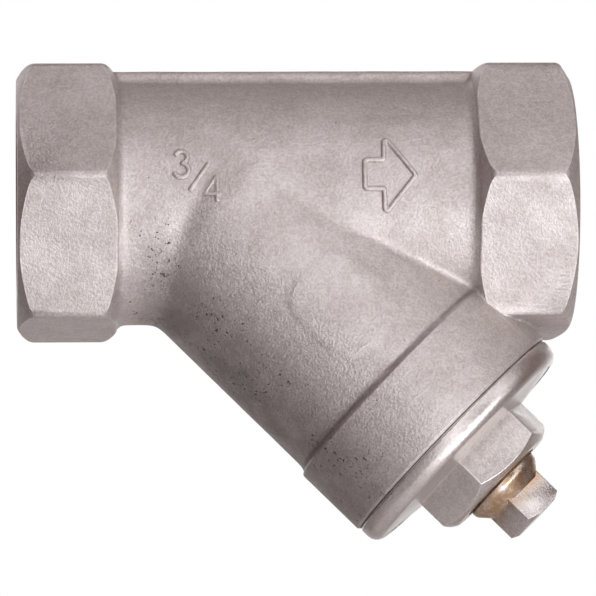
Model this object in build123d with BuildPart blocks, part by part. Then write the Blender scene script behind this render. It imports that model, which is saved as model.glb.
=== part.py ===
from build123d import *

import os
from math import cos, pi, radians, sin, tan

# Y-pattern inline strainer with female threaded hex ends, for three-quarter inch pipe.
# The run lies along +X, the way the liquid flows, and +Z is up.
# The origin is on the run's axis, in the plane of the inlet's end face.
# The leg slopes down and downstream in the XZ plane and holds the screen.
# All sizes are in millimetres and degrees.

# Run and its two hexagonal ends
face_to_face = 80.0
run_bore_radius = 13.8
run_wall = 3.8
hex_step = 0.9
hex_length = 14.4
hex_face_inset = 0.5
hex_crown_angle = 31.0
neck_taper = 0.75
port_radius = 13.22
port_depth = 14.5
port_chamfer = 0.5

# Spine along the top of the run
spine_width = 11.0
spine_step = 0.6
spine_edge = 0.8

# Leg and its collar
leg_angle = 45.0
leg_wall = 3.4
leg_root_lead = 3.0
leg_root_drop = 1.1
collar_step = 0.75
collar_length = 11.4
collar_taper = 0.6
collar_chamfer = 0.5

# Wall inside the body that makes the liquid pass through the screen
divider_position = 0.99
divider_thickness = 3.2
screen_seat_depth = 2.0
screen_seat_ledge = 1.5

# Screen: perforated tube, woven liner and the two bands that hold the liner
screen_radius = 11.5
screen_sheet = 0.5
liner_thickness = 0.25
band_thickness = 0.5
band_height = 4.0
screen_hole_flats = 3.0
screen_holes_around = 12
screen_hole_rows = 7
screen_margin = 7.0

# Screwed cap, whose thread is drawn at its pitch diameter
cap_thread_step = 0.6
cap_mouth_chamfer = 0.5
rim_inset = 0.25
rim_thickness = 3.05
rim_round = 1.9
rim_chamfer = 0.35
rim_dome = 0.75
skirt_length = 10.5
skirt_wall = 2.32
skirt_tip_chamfer = 0.6
pocket_step = 3.0
pocket_floor = 2.0
boss_across_flats = 18.8
boss_height = 5.8
boss_face_inset = 0.4
boss_crown_angle = 33.0
boss_clock = 8.8

# Flat gasket under the cap's rim
gasket_thickness = 0.4
gasket_recess = 0.55

# Blow-off plug with a square head, in its tapping through the cap's boss
plug_thread_radius = 6.15
plug_thread_length = 7.0
plug_seal_length = 1.8
plug_neck_step = 0.55
plug_neck_height = 2.4
plug_neck_taper = 1.2
plug_square = 6.9
plug_square_height = 4.9
plug_square_chamfer = 0.5
plug_clock = 22.7

# Clearances
thread_clearance = 0.08
thread_run_out = 1.5
seat_clearance = 0.3
lining_clearance = 0.05
seal_clearance = 0.05
chamber_clearance = 3.5
divider_clearance = 1.5
spanner_clearance = 1.9

# Radii, from the bore and the screen outwards
run_radius = run_bore_radius + run_wall
hex_flat_radius = run_radius + hex_step
hex_corner_radius = hex_flat_radius / cos(pi / 6)
hex_face_radius = hex_flat_radius - hex_face_inset
chamber_radius = screen_radius + chamber_clearance
leg_radius = chamber_radius + leg_wall
collar_radius = leg_radius + collar_step
cap_thread_radius = chamber_radius + cap_thread_step
skirt_radius = cap_thread_radius - thread_clearance
skirt_bore_radius = skirt_radius - skirt_wall
rim_radius = collar_radius - rim_inset
pocket_radius = screen_radius + seat_clearance
screen_port_radius = screen_radius - screen_seat_ledge
liner_radius = screen_radius - screen_sheet - lining_clearance
band_radius = liner_radius - liner_thickness - lining_clearance
boss_flat_radius = boss_across_flats / 2
boss_corner_radius = boss_flat_radius / cos(pi / 6)
boss_face_radius = boss_flat_radius - boss_face_inset
plug_radius = plug_thread_radius - thread_clearance
plug_neck_radius = plug_thread_radius - plug_neck_step

# Where the leg crosses the run, so that the dividing wall just clears the inlet's port
leg_slope = radians(leg_angle)
divider_foot = port_depth + divider_clearance
leg_offset = divider_foot + run_bore_radius * tan(leg_slope) - divider_position / cos(leg_slope)

# Length of the leg, so that its collar stays clear of the outlet's hexagon
leg_length = collar_radius / tan(leg_slope) + (hex_flat_radius + spanner_clearance) / sin(leg_slope)

# Places along the leg's axis, measured from where it crosses the run's axis
divider_end = divider_position + divider_thickness
screen_start = divider_end - screen_seat_depth + seat_clearance
collar_start = leg_length - collar_length
cap_seat = leg_length + gasket_thickness
skirt_tip = cap_seat - skirt_length
rim_end = cap_seat + rim_thickness
dome_end = rim_end + rim_dome
boss_end = dome_end + boss_height
pocket_end = rim_end - pocket_floor
screen_end = pocket_end - seat_clearance
screen_length = screen_end - screen_start
plug_thread_end = boss_end - plug_seal_length
neck_end = boss_end + plug_neck_height

# Frame of the leg: its axis points out of the leg, its side points up and downstream
leg_origin = Vector(leg_offset, 0, 0)
leg_direction = Vector(cos(leg_slope), 0, -sin(leg_slope))
leg_side = Vector(sin(leg_slope), 0, cos(leg_slope))
leg_axis = Axis(leg_origin, leg_direction)
leg_plane = Plane(leg_origin, x_dir=leg_side, z_dir=leg_direction)
leg_section = Plane(leg_origin, x_dir=leg_direction, z_dir=(0, -1, 0))
run_middle = Plane.YZ.offset(face_to_face / 2)


def turned(*points):
    """Face in the leg's section through points of (distance along the leg, radius)."""
    with BuildSketch(leg_section) as section:
        with BuildLine():
            Polyline(*points, close=True)
        make_face()
    return section.sketch


def sleeve(start, end, inner_radius, outer_radius):
    """Section of a plain sleeve on the leg's axis."""
    return turned((start, inner_radius), (end, inner_radius), (end, outer_radius), (start, outer_radius))


def rings(part, radius, station):
    """Circular edges of one radius, at one distance along the leg."""
    chosen = part.edges().filter_by(GeomType.CIRCLE)
    chosen = chosen.filter_by(lambda edge: abs(edge.radius - radius) < 1e-3)
    return chosen.filter_by(lambda edge: abs((edge.arc_center - leg_origin).dot(leg_direction) - station) < 1e-3)


def hole_plane(station, turn):
    """Plane of one perforation, just inside the screen's sheet and facing outwards."""
    outward = leg_side * cos(turn) + Vector(0, -1, 0) * sin(turn)
    origin = leg_origin + leg_direction * station + outward * (screen_radius - 2 * screen_sheet)
    return Plane(origin, x_dir=leg_direction, z_dir=outward)


# Hexagonal end: a prism whose corners are turned down to a crown at both faces, and a tapered neck behind it
hex_crown_slope = tan(radians(hex_crown_angle))
outer_crown = (hex_corner_radius - hex_face_radius) * hex_crown_slope
inner_crown = (hex_corner_radius - hex_flat_radius) * hex_crown_slope
with BuildPart() as hex_end:
    with BuildSketch(Plane.YZ):
        RegularPolygon(hex_flat_radius, 6, major_radius=False)
    extrude(amount=hex_length)
    with BuildSketch(Plane.XY):
        with BuildLine():
            Polyline(
                (0, 0),
                (0, hex_face_radius),
                (outer_crown, hex_corner_radius),
                (hex_length - inner_crown, hex_corner_radius),
                (hex_length, hex_flat_radius),
                (hex_length, 0),
                close=True,
            )
        make_face()
    revolve(axis=Axis.X, mode=Mode.INTERSECT)
    with BuildSketch(Plane.XY):
        with BuildLine():
            Polyline(
                (hex_length, run_bore_radius),
                (hex_length, run_radius + neck_taper),
                (hex_length + neck_taper, run_radius),
                (hex_length + neck_taper, run_bore_radius),
                close=True,
            )
        make_face()
    revolve(axis=Axis.X)

# Leg: a turned form that fades into the run at its root and steps out to the collar
with BuildPart() as leg_blank:
    revolve(
        turned(
            (-leg_root_lead, 0),
            (-leg_root_lead, leg_radius - leg_root_drop),
            (leg_root_lead, leg_radius),
            (collar_start - collar_taper, leg_radius),
            (collar_start, collar_radius),
            (leg_length, collar_radius),
            (leg_length, 0),
        ),
        axis=leg_axis,
    )
    chamfer(rings(leg_blank, collar_radius, leg_length), collar_chamfer)

# Dividing wall: a disc square to the leg's axis, with the screen's port and seat
with BuildPart() as divider:
    with BuildSketch(leg_plane.offset(divider_position)):
        Circle(2 * run_radius)
    extrude(amount=divider_thickness)
    with BuildSketch(Plane.YZ):
        Circle((run_radius + run_bore_radius) / 2)
    extrude(amount=face_to_face, mode=Mode.INTERSECT)
    with Locations(leg_plane.offset(divider_end)):
        CounterBoreHole(screen_port_radius, pocket_radius, screen_seat_depth, divider_thickness)

# Cast body: run and leg, spine, hexagonal ends, then the passages and the dividing wall
with BuildPart() as cast_body:
    with BuildSketch(run_middle):
        Circle(run_radius)
    extrude(amount=face_to_face / 2 - hex_length / 2, both=True)
    add(leg_blank.part)
    with BuildSketch(run_middle):
        Rectangle(spine_width, run_radius + spine_step, align=(Align.CENTER, Align.MIN))
    extrude(amount=face_to_face / 2 - hex_length / 2, both=True)
    fillet(cast_body.edges().filter_by(Axis.X).group_by(Axis.Z)[-1], spine_edge)
    add(hex_end.part)
    add(hex_end.part.mirror(run_middle))
    with BuildSketch(Plane.YZ):
        Circle(port_radius)
    extrude(amount=port_depth, mode=Mode.SUBTRACT)
    with BuildSketch(Plane.YZ.offset(face_to_face - port_depth)):
        Circle(port_radius)
    extrude(amount=port_depth, mode=Mode.SUBTRACT)
    mouths = cast_body.edges().filter_by(GeomType.CIRCLE).group_by(Axis.X)
    chamfer((mouths[0] + mouths[-1]).filter_by(lambda edge: abs(edge.radius - port_radius) < 1e-3), port_chamfer)
    with BuildSketch(Plane.YZ.offset(port_depth)):
        Circle(run_bore_radius)
    extrude(amount=face_to_face - 2 * port_depth, mode=Mode.SUBTRACT)
    with BuildSketch(leg_plane.offset(divider_end)):
        Circle(chamber_radius)
    extrude(amount=leg_length - divider_end, mode=Mode.SUBTRACT)
    with BuildSketch(leg_plane.offset(skirt_tip - thread_run_out)):
        Circle(cap_thread_radius)
    extrude(amount=leg_length - skirt_tip + thread_run_out, mode=Mode.SUBTRACT)
    chamfer(rings(cast_body, cap_thread_radius, leg_length), cap_mouth_chamfer)
    add(divider.part)
cast_body.part.label = "cast_body"

# Perforated screen: a rolled sheet with staggered rows of hexagonal holes
row_pitch = (screen_length - 2 * screen_margin) / (screen_hole_rows - 1)
hole_planes = []
for row in range(screen_hole_rows):
    station = screen_start + screen_margin + row * row_pitch
    stagger = (row % 2) / 2
    for column in range(screen_holes_around):
        hole_planes.append(hole_plane(station, 2 * pi * (column + stagger) / screen_holes_around))
with BuildPart() as screen_tube:
    revolve(sleeve(screen_start, screen_end, screen_radius - screen_sheet, screen_radius), axis=leg_axis)
    with BuildSketch(*hole_planes):
        RegularPolygon(screen_hole_flats / 2, 6, major_radius=False)
    extrude(amount=3 * screen_sheet, mode=Mode.SUBTRACT)
screen_tube.part.label = "screen_tube"

# Woven liner, as one thin sleeve of the cloth's thickness
with BuildPart() as screen_liner:
    revolve(sleeve(screen_start, screen_end, liner_radius - liner_thickness, liner_radius), axis=leg_axis)
screen_liner.part.label = "screen_liner"

# Bands that clamp the liner at both ends of the screen
with BuildPart() as screen_top_band:
    revolve(sleeve(screen_start, screen_start + band_height, band_radius - band_thickness, band_radius), axis=leg_axis)
screen_top_band.part.label = "screen_top_band"

with BuildPart() as screen_bottom_band:
    revolve(sleeve(screen_end - band_height, screen_end, band_radius - band_thickness, band_radius), axis=leg_axis)
screen_bottom_band.part.label = "screen_bottom_band"

# Gasket: a flat ring around the cap's skirt, a little smaller than the rim that presses it
with BuildPart() as cap_gasket:
    revolve(sleeve(leg_length, cap_seat, skirt_radius + seat_clearance, rim_radius - gasket_recess), axis=leg_axis)
cap_gasket.part.label = "cap_gasket"

# Hexagonal boss of the cap, with its outer corners turned down to a crown
boss_crown = (boss_corner_radius - boss_face_radius) * tan(radians(boss_crown_angle))
with BuildPart() as cap_boss:
    with BuildSketch(leg_plane.offset(rim_end - pocket_floor / 2)):
        RegularPolygon(boss_flat_radius, 6, major_radius=False, rotation=-boss_clock)
    extrude(amount=boss_end - rim_end + pocket_floor / 2)
    revolve(
        turned(
            (cap_seat, 0),
            (cap_seat, boss_corner_radius),
            (boss_end - boss_crown, boss_corner_radius),
            (boss_end, boss_face_radius),
            (boss_end, 0),
        ),
        axis=leg_axis,
        mode=Mode.INTERSECT,
    )

# Screwed cap: skirt, rim rounded in two steps, slightly conical face, boss, and the tapping for the plug
rim_shoulder = rim_round * (1 - cos(pi / 4))
with BuildPart() as screw_cap:
    revolve(
        turned(
            (skirt_tip, skirt_bore_radius),
            (skirt_tip, skirt_radius - skirt_tip_chamfer),
            (skirt_tip + skirt_tip_chamfer, skirt_radius),
            (cap_seat, skirt_radius),
            (cap_seat, rim_radius - rim_chamfer),
            (cap_seat + rim_chamfer, rim_radius),
            (rim_end - rim_round, rim_radius),
            (rim_end - rim_shoulder, rim_radius - rim_shoulder),
            (rim_end, rim_radius - rim_round),
            (dome_end, boss_corner_radius),
            (dome_end, 0),
            (pocket_end, 0),
            (pocket_end, pocket_radius),
            (pocket_end - pocket_step, pocket_radius),
            (pocket_end - pocket_step, skirt_bore_radius),
        ),
        axis=leg_axis,
    )
    add(cap_boss.part)
    with BuildSketch(leg_plane.offset(pocket_end)):
        Circle(plug_thread_radius)
    extrude(amount=boss_end - pocket_end, mode=Mode.SUBTRACT)
screw_cap.part.label = "screw_cap"

# Seal of the plug: tape packed round its neck in the mouth of the tapping
with BuildPart() as plug_seal:
    revolve(sleeve(plug_thread_end, boss_end, plug_neck_radius + seal_clearance, plug_thread_radius - seal_clearance), axis=leg_axis)
plug_seal.part.label = "plug_seal"

# Blow-off plug: threaded shank, rounded neck and square head
with BuildPart() as drain_plug:
    revolve(
        turned(
            (plug_thread_end - plug_thread_length, 0),
            (plug_thread_end - plug_thread_length, plug_radius),
            (plug_thread_end, plug_radius),
            (plug_thread_end, plug_neck_radius),
            (neck_end - plug_neck_taper, plug_neck_radius),
            (neck_end, plug_neck_radius - plug_neck_taper),
            (neck_end, 0),
        ),
        axis=leg_axis,
    )
    with BuildSketch(leg_plane.offset(neck_end)):
        Rectangle(plug_square, plug_square, rotation=-plug_clock)
    extrude(amount=plug_square_height)
    chamfer(drain_plug.faces().sort_by(leg_axis)[-1].edges(), plug_square_chamfer)
drain_plug.part.label = "drain_plug"

# One STEP file for each piece
os.makedirs("parts", exist_ok=True)
pieces = (
    cast_body,
    screen_tube,
    screen_liner,
    screen_top_band,
    screen_bottom_band,
    cap_gasket,
    screw_cap,
    plug_seal,
    drain_plug,
)
for piece in pieces:
    export_step(piece.part, f"parts/{piece.part.label}.step")
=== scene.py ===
"""Y-pattern inline strainer: casting, cap, plug and screen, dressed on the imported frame."""

import logging
import math
from dataclasses import dataclass
from enum import Enum
from typing import Callable, Sequence

import bpy
from mathutils import Matrix, Vector, noise


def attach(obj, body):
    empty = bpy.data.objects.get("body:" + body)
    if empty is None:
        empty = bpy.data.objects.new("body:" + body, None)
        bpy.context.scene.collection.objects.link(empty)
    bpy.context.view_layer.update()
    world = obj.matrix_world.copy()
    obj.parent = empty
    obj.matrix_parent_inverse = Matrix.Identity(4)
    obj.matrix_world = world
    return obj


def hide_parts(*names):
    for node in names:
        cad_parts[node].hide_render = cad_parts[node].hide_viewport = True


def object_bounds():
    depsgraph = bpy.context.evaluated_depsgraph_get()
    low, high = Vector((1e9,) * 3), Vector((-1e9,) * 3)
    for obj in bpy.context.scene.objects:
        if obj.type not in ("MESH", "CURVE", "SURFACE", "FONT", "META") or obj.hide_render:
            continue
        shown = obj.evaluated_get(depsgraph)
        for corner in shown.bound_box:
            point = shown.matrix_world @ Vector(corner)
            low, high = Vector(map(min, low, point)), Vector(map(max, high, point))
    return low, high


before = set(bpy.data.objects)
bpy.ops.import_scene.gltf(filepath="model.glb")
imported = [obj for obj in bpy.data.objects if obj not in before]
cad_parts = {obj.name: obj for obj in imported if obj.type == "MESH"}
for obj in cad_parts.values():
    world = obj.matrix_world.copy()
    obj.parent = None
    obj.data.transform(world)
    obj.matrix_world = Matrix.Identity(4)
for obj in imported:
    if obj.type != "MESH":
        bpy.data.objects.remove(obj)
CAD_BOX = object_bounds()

LOG = logging.getLogger("strainer")
MM = 0.001

Point = tuple[float, float]
Corner = tuple[float, float, float]
Stroke = tuple[list[Point], bool]
Colour = tuple[float, float, float, float]
Piece = bpy.types.Object
Finish = bpy.types.Material
Socket = bpy.types.NodeSocket
Sockets = bpy.types.bpy_prop_collection
Inputs = dict[str | int, object]


class Cut(Enum):
    """How one solid is combined with another."""

    JOIN = "UNION"
    REMOVE = "DIFFERENCE"
    KEEP_SHARED = "INTERSECT"


class Place(Enum):
    """Where a piece that is modelled upright, round its own Z axis, belongs on the strainer."""

    AS_MODELLED = 0
    INLET = 1
    OUTLET = 2
    LEG = 3

    def matrix(self) -> Matrix:
        """Matrix, in millimetres, from the upright piece to its place."""
        if self is Place.INLET:
            return Matrix.Rotation(math.pi / 2, 4, "Y")
        if self is Place.OUTLET:
            return Matrix.Translation((FACE_TO_FACE, 0, 0)) @ Matrix.Rotation(-math.pi / 2, 4, "Y")
        if self is Place.LEG:
            slope = math.radians(LEG_SLOPE)
            side = Vector((math.sin(slope), 0, math.cos(slope)))
            out = Vector((math.cos(slope), 0, -math.sin(slope)))
            turn = Matrix((side, out.cross(side), out)).transposed().to_4x4()
            return Matrix.Translation((LEG_OFFSET, 0, 0)) @ turn
        return Matrix.Identity(4)


# Sizes that several sub-assemblies share, in millimetres and degrees
FACE_TO_FACE = 80.0
LEG_OFFSET = 28.4
LEG_SLOPE = 45.0
LEG_LENGTH = 48.0
CAP_SEAT = 48.4
BOSS_END = 58.0
GASKET_EDGE = 18.35
SCREEN_START = 2.49
SCREEN_END = 49.15


def hold(*pieces: Piece) -> None:
    """Leaves edit mode and selects only the given pieces, the first one active."""
    if bpy.context.object and bpy.context.object.mode != "OBJECT":
        bpy.ops.object.mode_set(mode="OBJECT")
    bpy.ops.object.select_all(action="DESELECT")
    for piece in pieces:
        piece.select_set(True)
    if pieces:
        bpy.context.view_layer.objects.active = pieces[0]


def edit(piece: Piece, choose: str = "SELECT") -> None:
    """Opens a piece in edit mode with all of its mesh selected, or with DESELECT none of it."""
    hold(piece)
    bpy.ops.object.mode_set(mode="EDIT")
    bpy.ops.mesh.select_all(action=choose)


def named(name: str) -> Piece:
    """Names the piece that was made last, and returns it."""
    piece = bpy.context.object
    piece.name = piece.data.name = name
    return piece


def apply_modifier(piece: Piece, kind: str, **settings: object) -> None:
    """Adds one modifier to a piece and applies it.

    Args:
        piece: The mesh object.
        kind: Blender's name of the modifier.
        settings: The modifier's own properties.
    """
    hold(piece)
    modifier = piece.modifiers.new(kind.lower(), kind)
    for name, value in settings.items():
        setattr(modifier, name, value)
    bpy.ops.object.modifier_apply(modifier=modifier.name)


def tidy_shell(piece: Piece, merge: float = 0.0005) -> None:
    """Merges doubled points of a closed shell and turns its faces outwards."""
    edit(piece)
    bpy.ops.mesh.remove_doubles(threshold=merge)
    bpy.ops.mesh.normals_make_consistent(inside=False)
    hold(piece)


def rounded(corners: Sequence[Corner], steps: int = 5, closed: bool = False) -> list[Point]:
    """Draws a line through corners, with an arc at each corner that has a radius.

    Args:
        corners: Points of (first, second, radius of the round).
        steps: Chords in each arc.
        closed: True if the last corner runs on to the first.

    Returns:
        The line's points.
    """
    points: list[Point] = []
    count = len(corners)
    for index, (first, second, radius) in enumerate(corners):
        here = Vector((first, second))
        at_end = not closed and index in (0, count - 1)
        if radius <= 0 or at_end:
            points.append((first, second))
            continue
        back = (Vector(corners[index - 1][:2]) - here).normalized()
        ahead = (Vector(corners[(index + 1) % count][:2]) - here).normalized()
        half = back.angle(ahead) / 2
        centre = here + (back + ahead).normalized() * (radius / math.sin(half))
        start = here + back * (radius / math.tan(half)) - centre
        end = here + ahead * (radius / math.tan(half)) - centre
        sweep = start.angle_signed(end)
        for step in range(steps + 1):
            arm = Matrix.Rotation(-sweep * step / steps, 2) @ start
            points.append((centre.x + arm.x, centre.y + arm.y))
    return points


def turned(
    name: str, profile: Sequence[Point | Corner], segments: int = 192, ring: bool = False, steps: int = 5
) -> Piece:
    """Turns a closed form round the Z axis, one extruded circle after the other.

    Args:
        name: Name of the piece.
        profile: Points of (radius, height), or corners of (radius, height, round), along the outline.
        segments: Points in each circle.
        ring: True if the outline runs on to its first point, as on a washer.
        steps: Chords in each round.

    Returns:
        The closed mesh object.
    """
    hold()
    if len(profile[0]) == 3:
        profile = rounded(profile, steps, closed=ring)
    radius, height = profile[0]
    fill = "NOTHING" if ring else "NGON"
    bpy.ops.mesh.primitive_circle_add(vertices=segments, radius=radius, fill_type=fill)
    piece = named(name)
    edit(piece)
    bpy.ops.transform.translate(value=(0, 0, height))
    outline = [*profile[1:], profile[0]] if ring else profile[1:]
    for next_radius, next_height in outline:
        rise = {"value": (0, 0, next_height - height)}
        if ring:
            bpy.ops.mesh.extrude_edges_move(TRANSFORM_OT_translate=rise)
        else:
            bpy.ops.mesh.extrude_region_move(TRANSFORM_OT_translate=rise)
        grow = next_radius / radius
        bpy.ops.transform.resize(value=(grow, grow, 1), center_override=(0, 0, next_height))
        radius, height = next_radius, next_height
    tidy_shell(piece)
    return piece


def washer(name: str, radii: Point, heights: Point, edge: float = 0.0, segments: int = 96) -> Piece:
    """Turns a ring of rectangular section round the Z axis.

    Args:
        name: Name of the piece.
        radii: Its inner and outer radius.
        heights: Its lower and upper height.
        edge: Radius of its rounded edges.
        segments: Points in each circle.

    Returns:
        The closed mesh object.
    """
    (inner, outer), (low, high) = radii, heights
    corners = (inner, low), (outer, low), (outer, high), (inner, high)
    return turned(name, [(*corner, edge) for corner in corners], segments, ring=True, steps=3)


def prism(name: str, sides: int, flat_radius: float, low: float, high: float, turn: float) -> Piece:
    """Makes a regular prism on the Z axis.

    Args:
        name: Name of the piece.
        sides: Number of flats.
        flat_radius: Distance from the axis to a flat.
        low: Height of the lower face.
        high: Height of the upper face.
        turn: Angle of one corner from the X axis, in degrees.

    Returns:
        The mesh object.
    """
    hold()
    corner_radius = flat_radius / math.cos(math.pi / sides)
    middle = Matrix.Translation((0, 0, (low + high) / 2))
    bpy.ops.mesh.primitive_cylinder_add(vertices=sides, radius=corner_radius, depth=high - low)
    piece = named(name)
    piece.data.transform(middle @ Matrix.Rotation(math.radians(turn - 90), 4, "Z"))
    return piece


def soften_edges(piece: Piece, width: float, segments: int = 3, sharper_than: float = 25.0) -> None:
    """Rounds every edge of a piece that is sharper than an angle."""
    apply_modifier(
        piece,
        "BEVEL",
        width=width,
        segments=segments,
        limit_method="ANGLE",
        angle_limit=math.radians(sharper_than),
        use_clamp_overlap=True,
    )


def combine(piece: Piece, tool: Piece, how: Cut) -> None:
    """Combines a piece with a tool and throws the tool away."""
    apply_modifier(piece, "BOOLEAN", operation=how.value, solver="MANIFOLD", object=tool)
    bpy.data.objects.remove(tool)


def joined(name: str, pieces: Sequence[Piece]) -> Piece:
    """Makes one object of several, each of which stays a shell of its own."""
    hold(*pieces)
    bpy.ops.object.join()
    return named(name)


def moved(piece: Piece, matrix: Matrix) -> Piece:
    """Moves a piece's mesh by a matrix, and leaves its object where it is."""
    piece.data.transform(matrix)
    piece.data.update()
    return piece


def thread(root: float, crest: float, pitch: float, start: float, turns: int, steps: int = 64) -> Piece:
    """Makes one right-hand thread ridge round the Z axis.

    Args:
        root: Radius at the ridge's foot, inside the wall that carries it.
        crest: Radius at the ridge's top, larger than root on a screw and smaller in a nut.
        pitch: Advance of one turn.
        start: Height at which the ridge's middle starts.
        turns: Whole turns.
        steps: Chords in each turn.

    Returns:
        The closed mesh object.
    """
    hold()
    bpy.ops.mesh.primitive_plane_add(size=1)
    piece = named("thread")
    foot, top = 0.48 * pitch, 0.07 * pitch
    section = [(root, start - foot), (crest, start - top), (root, start + foot), (crest, start + top)]
    for point, (radius, height) in zip(piece.data.vertices, section):
        point.co = (radius, 0, height)
    edit(piece)
    bpy.ops.mesh.delete(type="ONLY_FACE")
    apply_modifier(
        piece, "SCREW", axis="Z", angle=2 * math.pi, screw_offset=pitch, iterations=turns, steps=steps,
        render_steps=steps, use_merge_vertices=False,
    )
    for point in piece.data.vertices:
        radius = math.hypot(point.co.x, point.co.y)
        turn = (point.co.z - start) / pitch
        height = smooth_step(-0.4, 0.6, turn) * smooth_step(-0.4, 0.6, turns - turn)
        shrink = (root + (radius - root) * height) / radius
        point.co.x, point.co.y = point.co.x * shrink, point.co.y * shrink
    edit(piece)
    bpy.ops.mesh.fill_holes(sides=0)
    tidy_shell(piece, 0.0001)
    return piece


def sculpt(piece: Piece, rise: Callable[[Vector], float]) -> None:
    """Moves each point of a piece along its normal.

    Args:
        piece: The mesh object, in millimetres.
        rise: Gives the height for a point.
    """
    mesh = piece.data
    moves = [point.normal * rise(point.co) for point in mesh.vertices]
    for point, move in zip(mesh.vertices, moves):
        point.co += move
    mesh.update()


def dress(piece: Piece, *finishes: Finish) -> None:
    """Gives a piece its finishes, the first one on every face."""
    piece.data.materials.clear()
    for finish in finishes:
        piece.data.materials.append(finish)


def finish_piece(
    piece: Piece,
    place: Place,
    body: str,
    replaces: str | None,
    smooth_below: float = 32.0,
    finish: Finish | None = None,
) -> Piece:
    """Dresses a modelled piece, puts it in its place in metres, and ties it to the frame.

    Args:
        piece: The mesh object, modelled in millimetres.
        place: Its place on the strainer.
        body: The moving body that it rides on.
        replaces: The CAD node that it stands for, if any.
        smooth_below: Edges flatter than this angle are shaded smooth, in degrees.
        finish: Its finish, unless it is dressed already.

    Returns:
        The same object.
    """
    if finish:
        dress(piece, finish)
    moved(piece, Matrix.Scale(MM, 4) @ place.matrix())
    hold(piece)
    bpy.ops.object.shade_smooth_by_angle(angle=math.radians(smooth_below))
    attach(piece, body)
    if replaces:
        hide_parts(replaces)
    triangles = sum(len(face.vertices) - 2 for face in piece.data.polygons)
    LOG.info("%s: %d triangles, rides on %s", piece.name, triangles, body)
    return piece


def smooth_step(low: float, high: float, value: float) -> float:
    """Eases from 0 at low to 1 at high."""
    share = min(max((value - low) / (high - low), 0.0), 1.0)
    return share * share * (3 - 2 * share)


def inside_pad(across: float, along: float, half: Point, corner: float, soft: float) -> float:
    """Share of a rounded pad's height at a place on its face.

    Args:
        across: Distance from the pad's middle, one way.
        along: Distance from the pad's middle, the other way.
        half: Half of the pad's two sizes.
        corner: Radius of its corners.
        soft: Half the width of its soft edge.

    Returns:
        1 on the pad, 0 beside it.
    """
    over = Vector((abs(across) - half[0] + corner, abs(along) - half[1] + corner))
    outside = Vector((max(over.x, 0), max(over.y, 0))).length + min(max(over.x, over.y), 0) - corner
    return 1 - smooth_step(-soft, soft, outside)


# Shader tools


class Nodes:
    """A node tree with short ways to add and wire its nodes."""

    def __init__(self, tree: bpy.types.NodeTree) -> None:
        """Keeps the tree."""
        self.tree = tree

    @classmethod
    def fresh(cls, owner: Finish | bpy.types.World) -> "Nodes":
        """Empties the node tree of a finish or a world, and returns the tools for it."""
        owner.use_nodes = True
        owner.node_tree.nodes.clear()
        return cls(owner.node_tree)

    def add(self, kind: str, inputs: Inputs | None = None, **settings: object) -> bpy.types.Node:
        """Adds one node.

        Args:
            kind: Blender's type of the node, without the ShaderNode prefix.
            inputs: Values or output sockets for its inputs, by name or number.
            settings: The node's own properties.

        Returns:
            The node.
        """
        node = self.tree.nodes.new("ShaderNode" + kind)
        for name, value in settings.items():
            setattr(node, name, value)
        for key, value in (inputs or {}).items():
            if isinstance(value, Socket):
                self.tree.links.new(value, node.inputs[key])
            else:
                node.inputs[key].default_value = value
        return node

    def group(self, tree: bpy.types.NodeTree, **inputs: object) -> Sockets:
        """Adds a node group, and returns its outputs."""
        return self.add("Group", inputs, node_tree=tree).outputs

    def vector(self, operation: str, first: Socket, second: object) -> Sockets:
        """Adds a Vector Math node, and returns its outputs."""
        return self.add("VectorMath", {0: first, 1: second}, operation=operation).outputs

    def math(self, operation: str, *values: object) -> Socket:
        """Adds a Math node on values or sockets, and returns its result."""
        return self.add("Math", dict(enumerate(values)), operation=operation).outputs[0]

    def times(self, product: object, *others: object) -> Socket:
        """Multiplies values or sockets, and returns the product."""
        for other in others:
            product = self.math("MULTIPLY", product, other)
        return product

    def beside(self, value: Socket, middle: float) -> Socket:
        """Distance of a value from a middle."""
        return self.math("ABSOLUTE", self.math("SUBTRACT", value, middle))

    def remap(
        self, value: object, low: float, high: float, to_low: float = 0.0, to_high: float = 1.0
    ) -> Socket:
        """Eases a value from one range to another, and returns the result."""
        inputs = {"Value": value, "From Min": low, "From Max": high, "To Min": to_low, "To Max": to_high}
        return self.add("MapRange", inputs, interpolation_type="SMOOTHSTEP").outputs["Result"]

    def blend(self, share: object, first: object, second: object, kind: str = "MIX") -> Socket:
        """Mixes two colours, and returns the result."""
        node = self.add("Mix", {0: share, 6: first, 7: second}, data_type="RGBA", blend_type=kind)
        return node.outputs[2]

    def noise(self, place: Socket, grain: float, detail: float = 2.0, rough: float = 0.5) -> Socket:
        """Adds noise with a grain size in millimetres, and returns its value."""
        return self.scaled_noise(place, 1 / (grain * MM), detail, rough)

    def scaled_noise(self, place: Socket, scale: object, detail: float, rough: float = 0.5) -> Socket:
        """Adds noise with Blender's own scale, a value or a socket, and returns its value."""
        inputs = {"Vector": place, "Scale": scale, "Detail": detail, "Roughness": rough}
        return self.add("TexNoise", inputs).outputs[0]

    def close(self, shader: bpy.types.Node, kind: str = "OutputMaterial") -> None:
        """Gives a shader to the tree's output."""
        self.add(kind, {"Surface": shader.outputs[0]})

    def surface(self, colour: Socket, rough: object, height: Socket, depth: float, metal: float) -> None:
        """Closes a finish with a bumped surface.

        Args:
            colour: Its base colour.
            rough: Its roughness, a value or a socket.
            height: Height of its grain.
            depth: Depth of the grain in millimetres.
            metal: How metallic it is.
        """
        bump = self.add("Bump", {"Height": height, "Strength": 1.0, "Distance": depth * MM})
        inputs = {"Base Color": colour, "Roughness": rough, "Metallic": metal, "Normal": bump.outputs[0]}
        self.close(self.add("BsdfPrincipled", inputs))


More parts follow.
